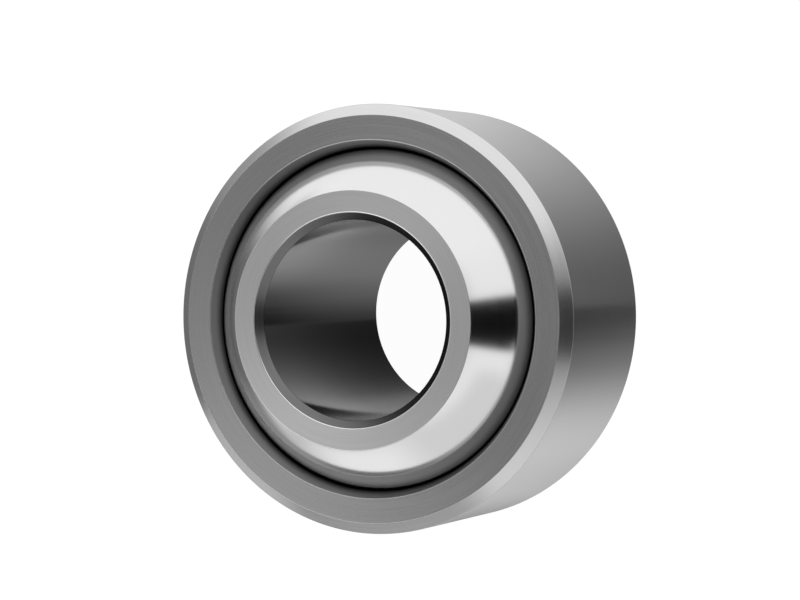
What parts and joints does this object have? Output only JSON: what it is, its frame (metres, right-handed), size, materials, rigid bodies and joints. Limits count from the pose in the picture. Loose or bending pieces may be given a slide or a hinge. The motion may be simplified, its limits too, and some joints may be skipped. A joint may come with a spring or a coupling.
{
  "type": "spherical plain bearing",
  "caption": "Steel spherical plain bearing: a chromed ball with a through bore, held in the spherical race of an outer ring and free to tilt.",
  "frame": {"origin": "centre of the ball, which is the centre of both rings", "axes": "+Z along the bearing axis, out of one end of the bore; +X and +Y across it, alike by symmetry"},
  "size_m": [0.026, 0.026, 0.017],
  "materials": {
    "ground_steel": "fine turned and ground satin steel",
    "polished_chrome": "mirror-polished ball, satin end faces and bore"
  },
  "bodies": {
    "outer_ring": {"outer_ring": "ground_steel"},
    "inner_ring": {"inner_ring": "polished_chrome"}
  },
  "joints": [
    {"name": "misalignment_tilt", "type": "hinge", "parent": "outer_ring", "child": "inner_ring", "pos_m": [0, 0, 0], "axis": [1, 0, 0], "range_deg": [-16, 16]}
  ]
}
